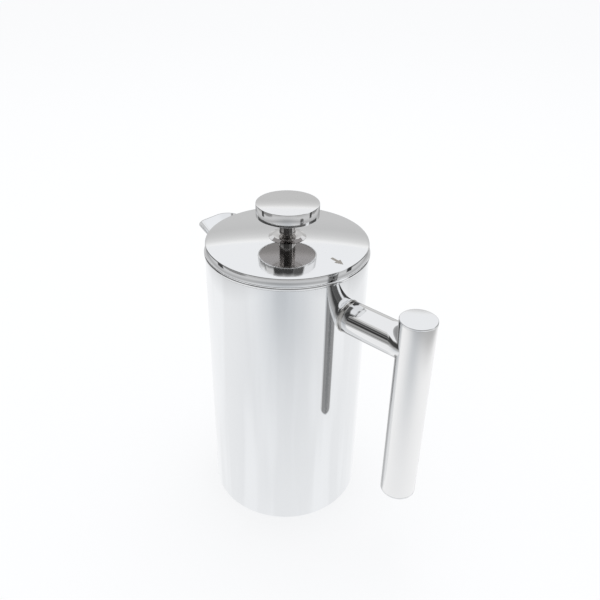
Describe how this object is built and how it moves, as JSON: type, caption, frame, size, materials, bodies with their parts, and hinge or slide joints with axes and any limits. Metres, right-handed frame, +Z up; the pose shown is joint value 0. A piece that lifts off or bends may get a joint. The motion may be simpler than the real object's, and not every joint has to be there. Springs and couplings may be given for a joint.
{
  "type": "french press",
  "caption": "Cylindrical double-walled steel coffee press with a domed lid, disc knob on a sliding plunger, layered mesh filter, beak spout and an open tubular handle.",
  "frame": {"origin": "centre of the flat base, on the pot's axis, at the surface it stands on", "axes": "+Z up along the pot's axis; +X from the pot's axis to the handle; the spout is on -X"},
  "size_m": [0.178, 0.101, 0.2121],
  "materials": {
    "polished_shell": "mirror polished steel",
    "polished_handle": "mirror polished steel tube",
    "satin_grip": "softly polished steel",
    "polished_lid": "polished steel with fine turned lines",
    "dark_polish": "bright turned steel",
    "brushed_inside": "brushed steel",
    "wire_mesh": "fine woven steel wire",
    "filter_steel": "stamped steel"
  },
  "bodies": {
    "pot": {"outer_shell": "polished_shell", "inner_vessel": "brushed_inside", "base_plate": "brushed_inside", "rim_bead": "polished_shell", "pour_spout": "polished_shell", "handle_arm": "polished_handle", "arm_weld": "polished_handle", "handle_grip": "satin_grip", "grip_top_cap": "satin_grip", "grip_bottom_cap": "satin_grip"},
    "rod_guide": {"rod_bushing": "dark_polish", "bushing_clip": "brushed_inside"},
    "lid": {"lid_cover": "polished_lid", "strainer_ring": "brushed_inside"},
    "plunger": {"plunger_rod": "dark_polish", "jam_nut": "filter_steel"},
    "knob": {"knob_cap": "polished_lid", "knob_plate": "polished_lid", "knob_collar": "dark_polish"},
    "filter": {"stack_washer": "filter_steel", "spiral_plate": "filter_steel", "coil_spring": "filter_steel", "upper_mesh": "wire_mesh", "mesh_spacer": "filter_steel", "lower_mesh": "wire_mesh", "cross_plate": "filter_steel", "filter_nut": "filter_steel"}
  },
  "joints": [
    {"name": "lid_lift", "type": "slide", "parent": "pot", "child": "rod_guide", "axis": [0, 0, 1], "range_m": [0, 0.185]},
    {"name": "lid_turn", "type": "hinge", "parent": "rod_guide", "child": "lid", "pos_m": [0, 0, 0.185], "axis": [0, 0, 1], "continuous": true},
    {"name": "plunge", "type": "slide", "parent": "rod_guide", "child": "plunger", "axis": [0, 0, 1], "range_m": [0, 0.148]},
    {"name": "knob_turn", "type": "hinge", "parent": "plunger", "child": "knob", "pos_m": [0, 0, 0.2], "axis": [0, 0, 1], "continuous": true},
    {"name": "filter_turn", "type": "hinge", "parent": "plunger", "child": "filter", "pos_m": [0, 0, 0.015], "axis": [0, 0, 1], "continuous": true}
  ]
}
